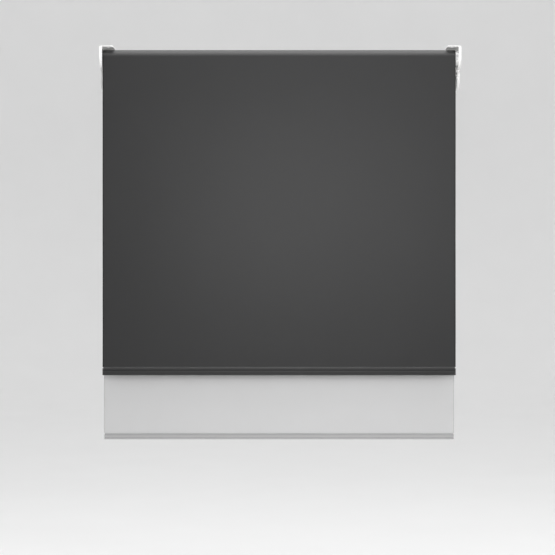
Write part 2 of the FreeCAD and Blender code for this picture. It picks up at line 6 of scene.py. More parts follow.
import bpy
import numpy as np
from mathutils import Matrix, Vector


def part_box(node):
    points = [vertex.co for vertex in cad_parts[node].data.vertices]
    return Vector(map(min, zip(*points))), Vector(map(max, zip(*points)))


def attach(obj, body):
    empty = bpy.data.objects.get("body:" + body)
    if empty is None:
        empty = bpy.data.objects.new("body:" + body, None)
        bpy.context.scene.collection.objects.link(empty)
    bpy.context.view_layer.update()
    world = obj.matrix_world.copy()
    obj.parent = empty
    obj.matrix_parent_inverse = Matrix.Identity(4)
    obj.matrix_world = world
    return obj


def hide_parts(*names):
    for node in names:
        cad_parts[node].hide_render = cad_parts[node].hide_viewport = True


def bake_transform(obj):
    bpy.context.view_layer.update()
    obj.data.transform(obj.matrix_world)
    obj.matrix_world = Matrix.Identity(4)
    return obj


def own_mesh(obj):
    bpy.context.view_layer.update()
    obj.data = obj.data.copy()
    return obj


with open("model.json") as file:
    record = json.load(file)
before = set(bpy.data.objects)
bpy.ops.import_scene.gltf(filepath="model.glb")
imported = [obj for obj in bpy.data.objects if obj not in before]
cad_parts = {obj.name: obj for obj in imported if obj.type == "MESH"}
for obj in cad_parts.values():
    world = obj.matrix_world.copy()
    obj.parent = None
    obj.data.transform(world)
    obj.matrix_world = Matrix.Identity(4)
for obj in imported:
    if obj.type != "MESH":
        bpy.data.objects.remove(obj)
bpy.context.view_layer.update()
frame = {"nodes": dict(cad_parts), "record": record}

MM = 0.001
SLOT_OF_NODE = {p["node"]: p["material_slot"] for p in frame["record"]["subparts"]}

# the places of a cloth piece's finishes in its list: the last is for the painted shadow along the sides and
# the painted shade of the hem's bands
FACE, BACK, EDGE, PAINTED_SHADE = 0, 1, 2, 3

TUBE_GAP = 0.05 * MM  # from the tube to the innermost turn of cloth
HALF_LAYER = 0.47  # half of a layer, in thicknesses: under 0.5, so that turns don't touch

# where the faces of the hanging cloth's layers lie, in thicknesses from the cloth's middle
NEAR_FACES = (-0.5, -0.17)
BETWEEN_FACES = (-0.14, 0.14)
FAR_FACES = (0.17, 0.5)

# the hanging cloth's long waves: height in millimetres, waves across, lean with the drop, phase
RIPPLES = ((0.26, 1.15, 0.35, 0.7), (0.16, 2.6, -0.22, 2.1), (0.08, 5.3, 0.6, 4.4))
CUP_HEIGHT = 0.34  # of the curl at the side edges, in millimetres
CUP_WIDTH = 2.4 * MM
ROLL_FADE, HEM_FADE = 0.18, 0.14  # shares of the drop over which the ripple dies out
SET_BACK_END = 0.6  # share of the drop at which the set-back from the roll has run out

# points along the hem pocket's middle line: its back, its bottom turn and its front
POCKET_BACK, POCKET_TURN, POCKET_FRONT = 26, 31, 46


# ---------------------------------------------------------------- the blinds' own sizes


class Blind:
    """One blind's places, read from its CAD nodes, and the sizes its cloth is made to.

    bulge is how far the hem pocket's full lines stand out, the bands are welded bands on its
    front whose darker colour is painted shade, from and to in millimetres below the hem line,
    and layers is the number of layers that the hanging cloth is made of.
    """

    def __init__(self, name, thickness, cloth_slot, bulge, bands, layers):
        self.name, self.thickness, self.cloth_slot = name, thickness, cloth_slot
        self.bulge, self.bands, self.layers = bulge, bands, layers
        tube_low, tube_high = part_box(f"{name}_tube")
        cloth_low, cloth_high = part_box(f"{name}_fabric")
        self.axis_y, self.axis_z = (tube_low.y + tube_high.y) / 2, cloth_high.z
        self.left, self.right = cloth_low.x, cloth_high.x
        self.cloth_y = (cloth_low.y + cloth_high.y) / 2
        self.hem_z = cloth_low.z
        self.drop = self.axis_z - self.hem_z
        self.pocket_low, self.pocket_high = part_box(f"{name}_hem_pocket")
        self.bar_low, self.bar_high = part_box(f"{name}_bottom_bar")
        self.spring_low, self.spring_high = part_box(f"{name}_pin_spring")
        self.pitch_radius = self.axis_y - self.cloth_y
        self.tube_radius = (tube_high.y - tube_low.y) / 2 + TUBE_GAP


# the front's band is painted shade for the hem's groove; the rear's two bands and darker hem are the bar's
# shadow through the cloth, painted
FRONT = Blind("front", 0.45 * MM, "blackout_cloth", 0.60 * MM, bands=((6.6, 9.4),), layers=3)
REAR = Blind(
    "rear", 0.35 * MM, "translucent_cloth", 0.30 * MM, bands=((2.4, 6.2), (10.4, 20.0)), layers=2
)


# ---------------------------------------------------------------- meshes from grids


def smooth_step(t):
    """0 below t = 0 and 1 above t = 1, and three t squared less two t cubed between them."""
    t = np.clip(t, 0, 1)
    return t * t * (3 - 2 * t)


def grid_quads(rows, columns, first=0):
    """Corner numbers of the quads of a rows x columns grid of points, numbered row by row from first."""
    r, c = np.meshgrid(np.arange(rows - 1), np.arange(columns - 1), indexing="ij")
    a = (first + r * columns + c).ravel()
    return np.stack([a, a + 1, a + 1 + columns, a + columns], axis=1)


def new_piece(name, points, quads, flat_places, finishes, finish_index=None):
    """A mesh object from points, quads, each point's place on the flat cloth as its UV, and its finishes."""
    mesh = bpy.data.meshes.new(name)
    mesh.from_pydata(points.tolist(), [], quads.tolist())
    corners = np.empty(len(mesh.loops), np.int32)
    mesh.loops.foreach_get("vertex_index", corners)
    layer = mesh.uv_layers.new(name="cloth")
    layer.data.foreach_set("uv", flat_places[corners].astype(np.float32).ravel())
    for finish in finishes:
        mesh.materials.append(finish)
    if finish_index is not None:
        mesh.polygons.foreach_set("material_index", finish_index.astype(np.int32))
    mesh.polygons.foreach_set("use_smooth", np.ones(len(quads), bool))
    mesh.update()
    piece = bpy.data.objects.new(name, mesh)
    bpy.context.scene.collection.objects.link(piece)
    return piece


def slab(name, outer, inner, flat_places, finishes, row_finish=None, side_finish=None):
    """A closed thin slab between two grids of points that have the same rows and columns.

    The outer grid's quads, the inner grid's quads turned round, and a strip of quads
    round each of the four edges. The whole is turned round if the outer quads' normals
    point towards the inner grid. The outer face takes FACE, or the finish of its row,
    the inner face BACK and the four edges EDGE. The first and last columns of both faces
    may take a finish of their own.
    """
    rows, columns = outer.shape[:2]
    count = rows * columns
    points = np.concatenate([outer.reshape(-1, 3), inner.reshape(-1, 3)])
    front, back = grid_quads(rows, columns), grid_quads(rows, columns, count)[:, ::-1]
    number = np.arange(count).reshape(rows, columns)
    rim = np.concatenate([number[0], number[1:, -1], number[-1, -2::-1], number[-2::-1, 0]])
    edge = np.stack([rim[1:], rim[:-1], rim[:-1] + count, rim[1:] + count], axis=1)
    quads = np.concatenate([front, back, edge])
    a, b, d = points[front[:, 0]], points[front[:, 1]], points[front[:, 3]]
    facing = np.einsum("ij,ij->i", np.cross(b - a, d - a), a - points[front[:, 0] + count])
    if facing.sum() < 0:
        quads = quads[:, ::-1]
    rows_of_front = np.full(rows - 1, FACE) if row_finish is None else np.asarray(row_finish)
    face = np.repeat(rows_of_front[:, None], columns - 1, axis=1)
    reverse = np.full_like(face, BACK)
    if side_finish is not None:
        face[:, [0, -1]] = reverse[:, [0, -1]] = side_finish
    index = np.concatenate([face.ravel(), reverse.ravel(), np.full(len(edge), EDGE)])
    places = np.concatenate([flat_places.reshape(-1, 2)] * 2)
    piece = new_piece(name, points, quads, places, finishes, index)
    crease(piece.data, np.concatenate([rim, rim + count]), len(points))
    return piece


def crease(mesh, loops, count):
    """Makes the edges between neighbours in loops sharp, so that a face and its cut edge shade apart.

    An edge's two point numbers, the smaller times count plus the larger, make one number
    that is looked for among the neighbours' numbers.
    """
    pairs = np.sort(np.stack([loops[:-1], loops[1:]], axis=1), axis=1)
    ends = np.empty(len(mesh.edges) * 2, np.int32)
    mesh.edges.foreach_get("vertices", ends)
    ends = np.sort(ends.reshape(-1, 2), axis=1)
    sharp = np.isin(ends[:, 0].astype(np.int64) * count + ends[:, 1], pairs[:, 0] * count + pairs[:, 1])
    mesh.edges.foreach_set("use_edge_sharp", sharp)
    mesh.update()


# ---------------------------------------------------------------- cloth pieces


def cloth_ripple(x, share, left, right):
    """How far the hanging cloth stands off its flat plane, in metres.

    Three long sine waves across the width, each leaning a little with the drop, plus a
    cup at both side edges that falls off as e to the minus distance over 2.4 mm. Near
    the roll the most that these can add up to is taken off, so that the cloth stays on
    the room's side of the roll, and this runs out as a smooth step over 0.6 of the
    drop. All of it is times a fade that is 0 at the roll and at the hem.
    """
    most = sum(height for height, _, _, _ in RIPPLES) + CUP_HEIGHT
    u = (x - left) / (right - left)
    fade = smooth_step(share / ROLL_FADE) * smooth_step((1 - share) / HEM_FADE)
    wave = sum(
        height * np.sin(2 * np.pi * (across * u + lean * share) + phase)
        for height, across, lean, phase in RIPPLES
    )
    side = np.minimum(x - left, right - x)
    cup = CUP_HEIGHT * np.exp(-side / CUP_WIDTH)
    set_back = most * (1 - smooth_step(share / SET_BACK_END))
    return MM * fade * (wave + cup - set_back)


def side_wander(along):
    """How far the cloth's cut side strays, in metres: two slow sines of the distance along the cloth."""
    return MM * (0.09 * np.sin(along * 11.0) + 0.05 * np.sin(along * 37.0))


def hanging_layer(blind, name, start, end, near, far, finishes):
    """One layer of the hanging cloth, from share start to share end of the drop.

    Rows go down and columns across. The columns are crowded towards the two sides by a
    sine of the share across. y is the cloth's plane plus the ripple, plus near or far
    times the thickness for the layer's two faces.
    """
    rows, columns, crowding = 91, 73, 0.135
    share = np.linspace(start, end, rows)[:, None]
    u = np.linspace(0, 1, columns)[None, :]
    u = u - crowding * np.sin(2 * np.pi * u)
    wander = side_wander(share * blind.drop)
    x = blind.left + (blind.right - blind.left) * u + wander
    z = blind.axis_z - blind.drop * share + 0 * u
    y = blind.cloth_y + cloth_ripple(x - wander, share, blind.left, blind.right)
    outer = np.stack([x, y + near * blind.thickness, z], axis=-1)
    inner = np.stack([x, y + far * blind.thickness, z], axis=-1)
    flat = np.stack([x, -z], axis=-1)
    # the first and last columns take the side finish, a darker painted shadow along the cut sides
    return slab(name, outer, inner, flat, finishes, side_finish=PAINTED_SHADE)


def wound_cloth(blind, finishes):
    """The cloth still on the tube, a strip wound in a spiral.

    With f the angle turned from the point where the cloth leaves the roll, over the top,
    the strip's middle is at radius pitch radius - thickness * f / 2 pi, and its place is
    y = axis - radius * cos f, z = axis + radius * sin f. It ends on the tube.
    """
    points_per_turn, columns = 112, 13
    inner_end = 0.55  # of a thickness, from the tube's gap to the middle of the last turn
    t = blind.thickness
    turns = (blind.pitch_radius - blind.tube_radius - inner_end * t) / t
    f = np.linspace(0, 2 * np.pi * turns, int(points_per_turn * turns))[:, None]
    radius = blind.pitch_radius - t * f / (2 * np.pi)
    along = f * (blind.pitch_radius - t * f / (4 * np.pi))
    u = np.linspace(0, 1, columns)[None, :]
    x = blind.left + (blind.right - blind.left) * u + side_wander(-along) + 0 * f

    def at(r):
        """The grid of points at radius r."""
        return np.stack(
            [x, blind.axis_y - r * np.cos(f) + 0 * u, blind.axis_z + r * np.sin(f) + 0 * u],
            axis=-1,
        )

    flat = np.stack([x, -along - blind.axis_z + 0 * u], axis=-1)
    half = HALF_LAYER * t
    piece = slab(f"{blind.name}_wound_cloth", at(radius + half), at(radius - half), flat, finishes)
    return piece, float(along[-1, 0])


def pocket_line(blind):
    """The hem pocket's middle line in the Y-Z plane, from the cloth's back down, round the bar and up.

    The back goes out from the cloth's plane to behind the bar as a smooth step. The
    bottom is half an ellipse of power 2.3. The front comes up before the bar,
    with two full lines that are each e to the minus square of the height, and a pressed
    groove between them. It goes in to the cloth's plane as a smooth step, and ends in a
    cut flap on the cloth's face.
    """
    t = blind.thickness
    top, low = blind.hem_z, blind.pocket_low.z + 0.55 * t
    bar_play = 0.12 * MM  # between the bar and the cloth round it
    gap = bar_play + t / 2
    back_y, front_y = blind.bar_high.y + gap, blind.bar_low.y - gap
    taper = 3.6 * MM  # height over which the pocket goes in to the cloth's plane
    foot = low + 3.3 * MM  # where the bottom turn meets the straight walls
    face = blind.cloth_y - t
    z_back = np.linspace(top, foot, POCKET_BACK)
    y_back = blind.cloth_y + (back_y - blind.cloth_y) * smooth_step((top - z_back) / taper)
    turn = np.linspace(0, np.pi, POCKET_TURN + 2)[1:-1]
    middle, half = (back_y + front_y) / 2, (back_y - front_y) / 2
    ellipse_power = 2.3
    power = 2 / ellipse_power
    y_foot = middle + half * np.sign(np.cos(turn)) * np.abs(np.cos(turn)) ** power
    z_foot = foot - (foot - low) * np.sin(turn) ** power
    flap_top = top - 0.3 * MM
    flap_foot = top - 0.8 * MM  # down to here the flap lies flat on the cloth
    z_front = np.linspace(foot, flap_top, POCKET_FRONT)
    below_flap = (flap_foot - z_front) / taper
    height = (z_front - foot) / (top - foot)
    low_line = np.exp(-(((height - 0.27) / 0.14) ** 2))
    high_line = np.exp(-(((height - 0.70) / 0.09) ** 2))
    full = low_line + 0.85 * high_line
    y_front = face + (front_y - face) * smooth_step(below_flap)
    y_front = y_front - blind.bulge * full * smooth_step(height / 0.12)
    return (
        np.concatenate([y_back, y_foot, y_front]),
        np.concatenate([z_back, z_foot, z_front]),
    )


def hem_pocket(blind, finishes):
    """The hem pocket: its middle line carried along X, with a face half a thickness to each side of it.

    The faces are offset along the line's normal. From the bottom turn on, the pocket moves
    in and out by a few hundredths of a millimetre in a slow wave. Rows on the front inside
    one of the blind's bands are welded and take the darker finish of painted shade.
    """
    columns, wave_length = 97, 0.21
    wave_from = 30  # point of the line at which the slow wave starts
    y, z = pocket_line(blind)
    dy, dz = np.gradient(y), np.gradient(z)
    size = np.hypot(dy, dz)
    normal_y, normal_z = -dz / size, dy / size
    x = np.linspace(blind.pocket_low.x, blind.pocket_high.x, columns)[None, :]
    wave = 0.042 * MM * np.sin(2 * np.pi * (x - blind.left) / wave_length + 0.4)
    sway = wave * (np.arange(len(y)) > wave_from)[:, None]

    def at(side):
        """The grid of points half a layer outside the line where side is 1, and inside it where -1."""
        shift = side * HALF_LAYER * blind.thickness
        grid_x = x + 0 * y[:, None]
        grid_y = (y + normal_y * shift)[:, None] - sway
        grid_z = (z + normal_z * shift)[:, None] + 0 * x
        return np.stack([grid_x, grid_y, grid_z], axis=-1)

    step = np.hypot(np.diff(y, prepend=y[0]), np.diff(z, prepend=z[0]))
    along = np.cumsum(step)[:, None] - blind.hem_z
    flat = np.stack([x + 0 * along, along + 0 * x], axis=-1)
    height = (z[1:] + z[:-1]) / 2
    below = (blind.hem_z - height) / MM
    on_front = np.arange(len(height)) >= POCKET_BACK + POCKET_TURN
    # rows on the front inside a band take the darker finish: painted shade
    shade_rows = [on_front & (below > top) & (below < foot) for top, foot in blind.bands]
    rows = np.where(np.any(shade_rows, axis=0), PAINTED_SHADE, FACE)
    piece = slab(f"{blind.name}_hem_sleeve", at(1), at(-1), flat, finishes, rows)
    return piece, float(along[-1, 0] - along[0, 0])


def pin_coil(blind, finish):
    """The idle pin's coil spring: a round wire on a helix about the roll's axis.

    The helix turns ten times. Its place along X is the share s of the length plus a sine
    that closes the first and last turns. The wire's ring is in the plane of the axis'
    outward direction and X.
    """
    wire, mean = 0.45 * MM, 3.85 * MM  # radius of the wire, and of the helix that its middle follows
    sides, turns, points_per_turn = 10, 10, 32
    closing = 0.045  # share of the length by which the end turns close up
    low, high = blind.spring_low.x + wire, blind.spring_high.x - wire
    s = np.linspace(0, 1, turns * points_per_turn + 1)[:, None]
    turn = 2 * np.pi * turns * s
    x = low + (high - low) * (s - closing * np.sin(2 * np.pi * s))
    ring = np.linspace(0, 2 * np.pi, sides, endpoint=False)[None, :]
    radius = mean + wire * np.cos(ring)
    points = np.stack(
        [
            x + wire * np.sin(ring),
            blind.axis_y + radius * np.cos(turn),
            blind.axis_z + radius * np.sin(turn),
        ],
        axis=-1,
    )
    number = np.arange(points.shape[0] * sides).reshape(-1, sides)
    after = np.roll(number, -1, axis=1)
    quads = np.stack([number[:-1], number[1:], after[1:], after[:-1]], axis=-1).reshape(-1, 4)
    mesh = bpy.data.meshes.new(f"{blind.name}_pin_coil")
    ends = [number[0].tolist(), number[-1][::-1].tolist()]
    mesh.from_pydata(points.reshape(-1, 3).tolist(), [], quads.tolist() + ends)
    mesh.polygons.foreach_set("use_smooth", np.r_[np.ones(len(quads), bool), [False, False]])
    mesh.materials.append(finish)
    mesh.update()
    coil = bpy.data.objects.new(mesh.name, mesh)
    bpy.context.scene.collection.objects.link(coil)
    return coil


# ---------------------------------------------------------------- finishes


class Finish:
    """A material with one Principled shader, and short calls that add its pattern nodes."""

    def __init__(self, name, **constants):
        self.material = bpy.data.materials.new(name)
        self.material.use_nodes = True
        self.tree = self.material.node_tree
        self.shader = next(n for n in self.tree.nodes if n.type == "BSDF_PRINCIPLED")
        for socket, value in constants.items():
            self.shader.inputs[socket.replace("_", " ")].default_value = value
        self.count = 0

    def add(self, kind, settings=None, **inputs):
        """A node of that kind. Each input, named with _ for a space or inN by number, is linked or set."""
        node = self.tree.nodes.new(kind)
        self.count += 1
        node.location = (-1800 + 190 * (self.count % 8), -260 * (self.count // 8))
        for key, value in (settings or {}).items():
            setattr(node, key, value)
        for key, value in inputs.items():
            if key[:2] == "in" and key[2:].isdigit():
                self.feed(node.inputs[int(key[2:])], value)
            else:
                self.feed(node.inputs[key.replace("_", " ")], value)
        return node

    def feed(self, socket, value):
        """Links the socket to value if that is another node's socket, or else sets it to value."""
        if isinstance(value, bpy.types.NodeSocket):
            self.tree.links.new(value, socket)
        else:
            socket.default_value = value

    def maths(self, operation, *values):
        """The operation's result on one, two or three values."""
        return self.add(
            "ShaderNodeMath", {"operation": operation}, **{f"in{i}": v for i, v in enumerate(values)}
        ).outputs[0]

    def place(self, stretch=(1, 1, 1), of="Object"):
        """Object coordinates, or the cloth's own UV, in metres, times stretch."""
        source = self.add("ShaderNodeTexCoord").outputs[of]
        return self.add("ShaderNodeMapping", Vector=source, Scale=stretch).outputs[0]

    def noise(self, vector, scale, detail=2.0, roughness=0.5):
        """Smooth noise from 0 to 1, with scale lumps to a metre."""
        return self.add(
            "ShaderNodeTexNoise", Vector=vector, Scale=scale, Detail=detail, Roughness=roughness
        ).outputs[0]

    def spread(self, value, low, high, from_low=0.3, from_high=0.7):
        """value, running from from_low to from_high, stretched to run from low to high."""
        return self.add(
            "ShaderNodeMapRange", in0=value, in1=from_low, in2=from_high, in3=low, in4=high
        ).outputs[0]

    def blend(self, factor, first, second):
        """Colour first where factor is 0 and second where it is 1."""
        node = self.add("ShaderNodeMix", {"data_type": "RGBA"})
        self.feed(next(i for i in node.inputs if i.name == "Factor"), factor)
        for name, value in (("A", first), ("B", second)):
            self.feed(next(i for i in node.inputs if i.name == name and i.type == "RGBA"), value)
        return next(o for o in node.outputs if o.type == "RGBA")

    def bump(self, height, depth, strength=1.0, under=None):
        """A bump of that depth in metres from a height of 0 to 1, over another bump."""
        inputs = {"Height": height, "Distance": depth, "Strength": strength}
        if under is not None:
            inputs["Normal"] = under
        return self.add("ShaderNodeBump", **inputs).outputs[0]

    def drive(self, socket, value):
        """Links a pattern to one of the shader's inputs."""
        self.tree.links.new(value, self.shader.inputs[socket])


def shade(colour, factor=1.0):
    """A colour's red, green and blue, times factor, and full opacity."""
    return tuple(min(1.0, c * factor) for c in colour) + (1.0,)


def tint(colour, factor):
    """A colour's red, green and blue, times factor."""
    return tuple(c * factor for c in colour)


def moulded(name, colour, roughness, grain, depth, marbling=0.03, **constants):
    """Moulded or powder-coated skin: a fine grain all over, faint marbling of the colour, uneven gloss."""
    f = Finish(name, **constants)
    where = f.place()
    broad = f.noise(where, 38.0, 3.0)
    fine = f.noise(where, 1.0 / grain, 2.0, 0.6)
    f.drive("Base Color", f.blend(f.spread(broad, 0, 1), shade(colour, 1 - marbling), shade(colour)))
    f.drive("Roughness", f.spread(f.noise(where, 90.0, 4.0), roughness - 0.05, roughness + 0.07))
    f.drive("Normal", f.bump(fine, depth))
    return f.material


def drawn_metal(name, colour, roughness, along=(2.0, 900.0, 900.0), depth=0.00002, **constants):
    """Metal drawn or rolled along one direction: long streaks in colour, gloss and bump."""
    f = Finish(name, Metallic=1.0, **constants)
    streak = f.noise(f.place(along), 1.0, 3.0, 0.6)
    cloud = f.noise(f.place(), 22.0, 2.0)
    mixed = f.maths("ADD", f.maths("MULTIPLY", streak, 0.7), f.maths("MULTIPLY", cloud, 0.3))
    f.drive("Base Color", f.blend(f.spread(mixed, 0, 1), shade(colour, 0.86), shade(colour)))
    f.drive("Roughness", f.spread(mixed, roughness - 0.07, roughness + 0.1))
    f.drive("Normal", f.bump(streak, depth))
    return f.material


def woven(
    name, yarn, pitch, roughness, depth, streaks=0.05, marbling=0.03, ribs=0.0, sealed=0.0, **constants
):
    """Plain-woven cloth: warp and weft over and under each other, uneven yarns and broad marbling.

    The height is |sin| across the weft in one square of a chequer one yarn wide, and
    |sin| across the warp in the next. Within about 2 mm of the cut sides the colour is darker
    by the given share: a painted shadow along the sides. Ribs, if any, run down the cloth at that pitch.
    """
    f = Finish(name, **constants)
    flat = f.place((1 / pitch, 1 / pitch, 1), "UV")
    split = f.add("ShaderNodeSeparateXYZ", Vector=flat)
    across, down = split.outputs[0], split.outputs[1]
    over = f.add("ShaderNodeTexChecker", Vector=flat, Scale=1.0).outputs[1]
    weft = f.maths("ABSOLUTE", f.maths("SINE", f.maths("MULTIPLY", down, math.pi)))
    warp = f.maths("ABSOLUTE", f.maths("SINE", f.maths("MULTIPLY", across, math.pi)))
    difference = f.maths("SUBTRACT", weft, warp)
    weave = f.maths("MULTIPLY_ADD", difference, over, warp)
    weft_slub = f.noise(f.place((26.0, 1500.0, 1), "UV"), 1.0, 2.0)
    warp_slub = f.noise(f.place((1500.0, 14.0, 1), "UV"), 1.0, 2.0)
    slub = f.maths("ADD", f.spread(weft_slub, -0.5, 0.5), f.spread(warp_slub, -0.5, 0.5))
    cloud = f.spread(f.noise(f.place(), 7.0, 4.0, 0.55), -0.5, 0.5)
    tone = f.maths("MULTIPLY_ADD", slub, streaks, 1.0)
    tone = f.maths("MULTIPLY_ADD", cloud, marbling, tone)
    # painted shade and highlight: the colour falls to 0.80 in the weave's hollows and rises to 1.06 on its
    # crests
    hollow_shade = f.spread(weave, 0.80, 1.06, 0.0, 1.0)
    tone = f.maths("MULTIPLY", tone, hollow_shade)
    # painted shadow: the colour darkens by the given share within about 2 mm of the cloth's cut sides
    if sealed:
        middle = (FRONT.left + FRONT.right) / 2 / pitch
        from_middle = f.maths("ABSOLUTE", f.maths("SUBTRACT", across, middle))
        side = (FRONT.right - FRONT.left) / 2 / pitch
        begins, ends = side - 2.6 * MM / pitch, side - 1.2 * MM / pitch
        edge = f.spread(from_middle, 1.0, 1.0 - sealed, begins, ends)
        tone = f.maths("MULTIPLY", tone, edge)
    scaled = f.add("ShaderNodeVectorMath", {"operation": "SCALE"}, in0=yarn, Scale=tone)
    f.drive("Base Color", scaled.outputs[0])
    f.drive("Roughness", f.spread(weave, roughness + 0.10, roughness - 0.05, 0.0, 1.0))
    normal = f.bump(weave, depth)
    if ribs:
        rib = f.maths("ABSOLUTE", f.maths("SINE", f.maths("MULTIPLY", across, math.pi * pitch / ribs)))
        normal = f.bump(rib, depth * 1.6, under=normal)
    f.drive("Normal", normal)
    return f.material


def coated(name, colour, pitch, roughness, depth, **constants):
    """The cloth's coated back: a soft skin, the weave showing faintly through it, and small freckles."""
    f = Finish(name, **constants)
    flat = f.place((1 / pitch, 1 / pitch, 1), "UV")
    split = f.add("ShaderNodeSeparateXYZ", Vector=flat)
    weft = f.maths("ABSOLUTE", f.maths("SINE", f.maths("MULTIPLY", split.outputs[1], math.pi)))
    warp = f.maths("ABSOLUTE", f.maths("SINE", f.maths("MULTIPLY", split.outputs[0], math.pi)))
    through = f.maths("MULTIPLY", weft, warp)
    where = f.place()
    freckle = f.noise(where, 420.0, 4.0, 0.7)
    cloud = f.noise(where, 9.0, 4.0)
    mixed = f.maths("ADD", f.maths("MULTIPLY", freckle, 0.35), f.maths("MULTIPLY", cloud, 0.65))
    f.drive("Base Color", f.blend(f.spread(mixed, 0, 1, 0.35, 0.65), shade(colour, 0.93), shade(colour)))
    f.drive("Roughness", f.spread(freckle, roughness - 0.05, roughness + 0.08))
    f.drive("Normal", f.bump(freckle, depth, under=f.bump(through, depth * 0.7)))
    return f.material


def circuit_board(name):
    """Green solder mask with copper runs under it, as a brick grid, and gold pads on scattered dots."""
    f = Finish(name, Roughness=0.34, Coat_Weight=0.3)
    where = f.place()
    runs = f.add(
        "ShaderNodeTexBrick", Vector=where, Color1=(1, 1, 1, 1), Color2=(0.7, 0.7, 0.7, 1),
        Mortar=(0, 0, 0, 1), Scale=160.0, Mortar_Size=0.06, Row_Height=0.35, Brick_Width=1.6,
    ).outputs[0]
    dots = f.add("ShaderNodeTexVoronoi", Vector=where, Scale=310.0).outputs[0]
    pad = f.spread(dots, 1, 0, 0.12, 0.18)
    mask = f.blend(runs, (0.005, 0.09, 0.03, 1), (0.012, 0.16, 0.055, 1))
    f.drive("Base Color", f.blend(pad, mask, (0.72, 0.6, 0.33, 1)))
    f.drive("Normal", f.bump(runs, 0.00003))
    return f.material


def shrink_wrap(name, colour):
    """A battery's shrink film: fine rings of wrinkles about the cell, and small gloss marks."""
    f = Finish(name, IOR=1.5, Coat_Weight=0.25)
    rings = f.noise(f.place((420.0, 12.0, 12.0)), 1.0, 3.0)
    cloud = f.noise(f.place(), 45.0, 2.0)
    f.drive("Base Color", f.blend(f.spread(cloud, 0, 1), shade(colour, 0.85), shade(colour)))
    f.drive("Roughness", f.spread(rings, 0.24, 0.4))
    f.drive("Normal", f.bump(rings, 0.00012))
    return f.material


CHARCOAL = (0.0235, 0.0235, 0.0239)
LIGHT_GREY = (0.52, 0.52, 0.522)
# in both cloths the side share (0.45 and 0.08) is a painted shadow that darkens the colour near the cut
# sides
BLACKOUT = dict(
    pitch=0.46 * MM, roughness=0.42, depth=0.05 * MM, sealed=0.45, Sheen_Weight=0.015, Sheen_Roughness=0.45
)
TRANSLUCENT = dict(
    pitch=0.52 * MM, roughness=0.70, depth=0.05 * MM, streaks=0.03, marbling=0.015, sealed=0.08,
    Sheen_Weight=0.05, Sheen_Roughness=0.5,
)
WELD_RIBS = 1.5 * MM


def dark_cloth(name, factor, gloss, **extra):
    """The blackout cloth's weave, its colour times factor."""
    return woven(name, tint(CHARCOAL, factor), Specular_IOR_Level=gloss, **extra, **BLACKOUT)


def light_cloth(name, factor, gloss, **extra):
    """The translucent cloth's weave, its colour times factor."""
    return woven(name, tint(LIGHT_GREY, factor), Specular_IOR_Level=gloss, **extra, **TRANSLUCENT)


def cut_edge(name, grey, roughness, grain, gloss, depth=0.05 * MM):
    """A cloth's cut or melted edge, or a painted shadow along its sides, in one even grey."""
    return moulded(name, grey, roughness, grain, depth, Specular_IOR_Level=gloss)


def cloth_finishes():
    """Each blind's sheet finishes and hem finishes, by the blind's name, in the order FACE to PAINTED_SHADE."""
    dark_face = dark_cloth("blackout_face", 1, 0.24)
    # the front hem's band at 0.72 of the colour is painted shade for the pocket's groove; its weld ribs are
    # real bump
    dark_weld_shade = dark_cloth("blackout_weld_painted_shade", 0.72, 0.17, ribs=WELD_RIBS)
    dark_back = coated(
        "blackout_coating", (0.62, 0.62, 0.61), BLACKOUT["pitch"], 0.62, 0.03 * MM, Specular_IOR_Level=0.3
    )
    # near black: a painted shadow line down the blackout cloth's two cut sides, on their first and last
    # columns
    dark_side_shadow = cut_edge("blackout_painted_side_shadow", (0.010, 0.010, 0.0102), 0.6, 0.4 * MM, 0.05, 0.04 * MM)
    dark_edge = cut_edge("blackout_cut_edge", (0.12, 0.12, 0.12), 0.8, 0.3 * MM, 0.2)
    light_face = light_cloth("translucent_face", 1, 0.25)
    # the rear hem at 0.74 and its bands at 0.60 are a painted shadow of the bar inside the pocket, where it
    # would block light through the cloth
    light_hem_bar_shadow = light_cloth("translucent_hem_painted_bar_shadow", 0.74, 0.25)
    light_weld_bar_shadow = light_cloth("translucent_weld_painted_bar_shadow", 0.60, 0.3, ribs=WELD_RIBS)
    light_back = light_cloth("translucent_back", 0.97, 0.25)
    # 0.88 of the colour: a fainter painted shadow along the translucent cloth's cut sides
    light_side_shadow = light_cloth("translucent_painted_side_shadow", 0.88, 0.2)
    light_edge = cut_edge("translucent_cut_edge", (0.66, 0.66, 0.66), 0.8, 0.3 * MM, 0.2)
    dark = [dark_face, dark_back, dark_edge]
    return {
        "front": ([*dark, dark_side_shadow], [*dark, dark_weld_shade]),
        "rear": (
            [light_face, light_back, light_edge, light_side_shadow],
            [light_hem_bar_shadow, light_back, light_edge, light_weld_bar_shadow],
        ),
    }


